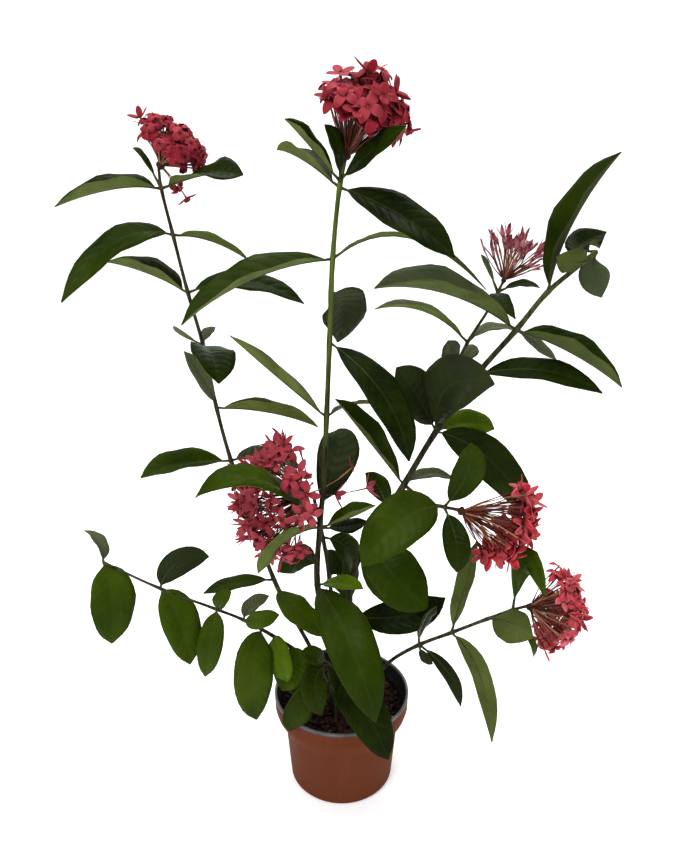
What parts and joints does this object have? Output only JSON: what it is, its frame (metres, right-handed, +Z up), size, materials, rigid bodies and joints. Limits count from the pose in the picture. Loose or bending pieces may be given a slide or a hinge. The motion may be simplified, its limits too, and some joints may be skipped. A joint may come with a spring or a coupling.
{
  "type": "potted ixora plant",
  "caption": "Potted ixora: leaning leafy stems with glossy leaves and round heads of four-petalled crimson florets, rooted in bark mix in a collared nursery pot.",
  "frame": {"origin": "centre of the pot's underside, on the surface it stands on", "axes": "+Z up; +X to the right and +Y away from someone who faces the plant's best side"},
  "size_m": [0.4975, 0.1866, 0.6918],
  "materials": {
    "pot_plastic": "matt terracotta plastic, dark inside the lip",
    "bark_mix": "rough, dark, damp bark and peat",
    "foliage": "glossy leathery blades, paler and matt below, on green to brown stems",
    "petals": "soft matt crimson petals on brown-red tubes",
    "buds": "soft matt rose buds"
  },
  "bodies": {
    "root": {"pot": "pot_plastic", "soil": "bark_mix", "left_stem": "foliage", "centre_stem": "foliage", "middle_stem": "foliage", "right_stem": "foliage", "low_right_stem": "foliage", "low_left_stem": "foliage", "basal_shoot": "foliage", "bloom_left": "petals", "bloom_top": "petals", "bloom_middle": "petals", "bloom_young": "buds", "bloom_right": "petals", "bloom_low_right": "petals"}
  },
  "joints": []
}
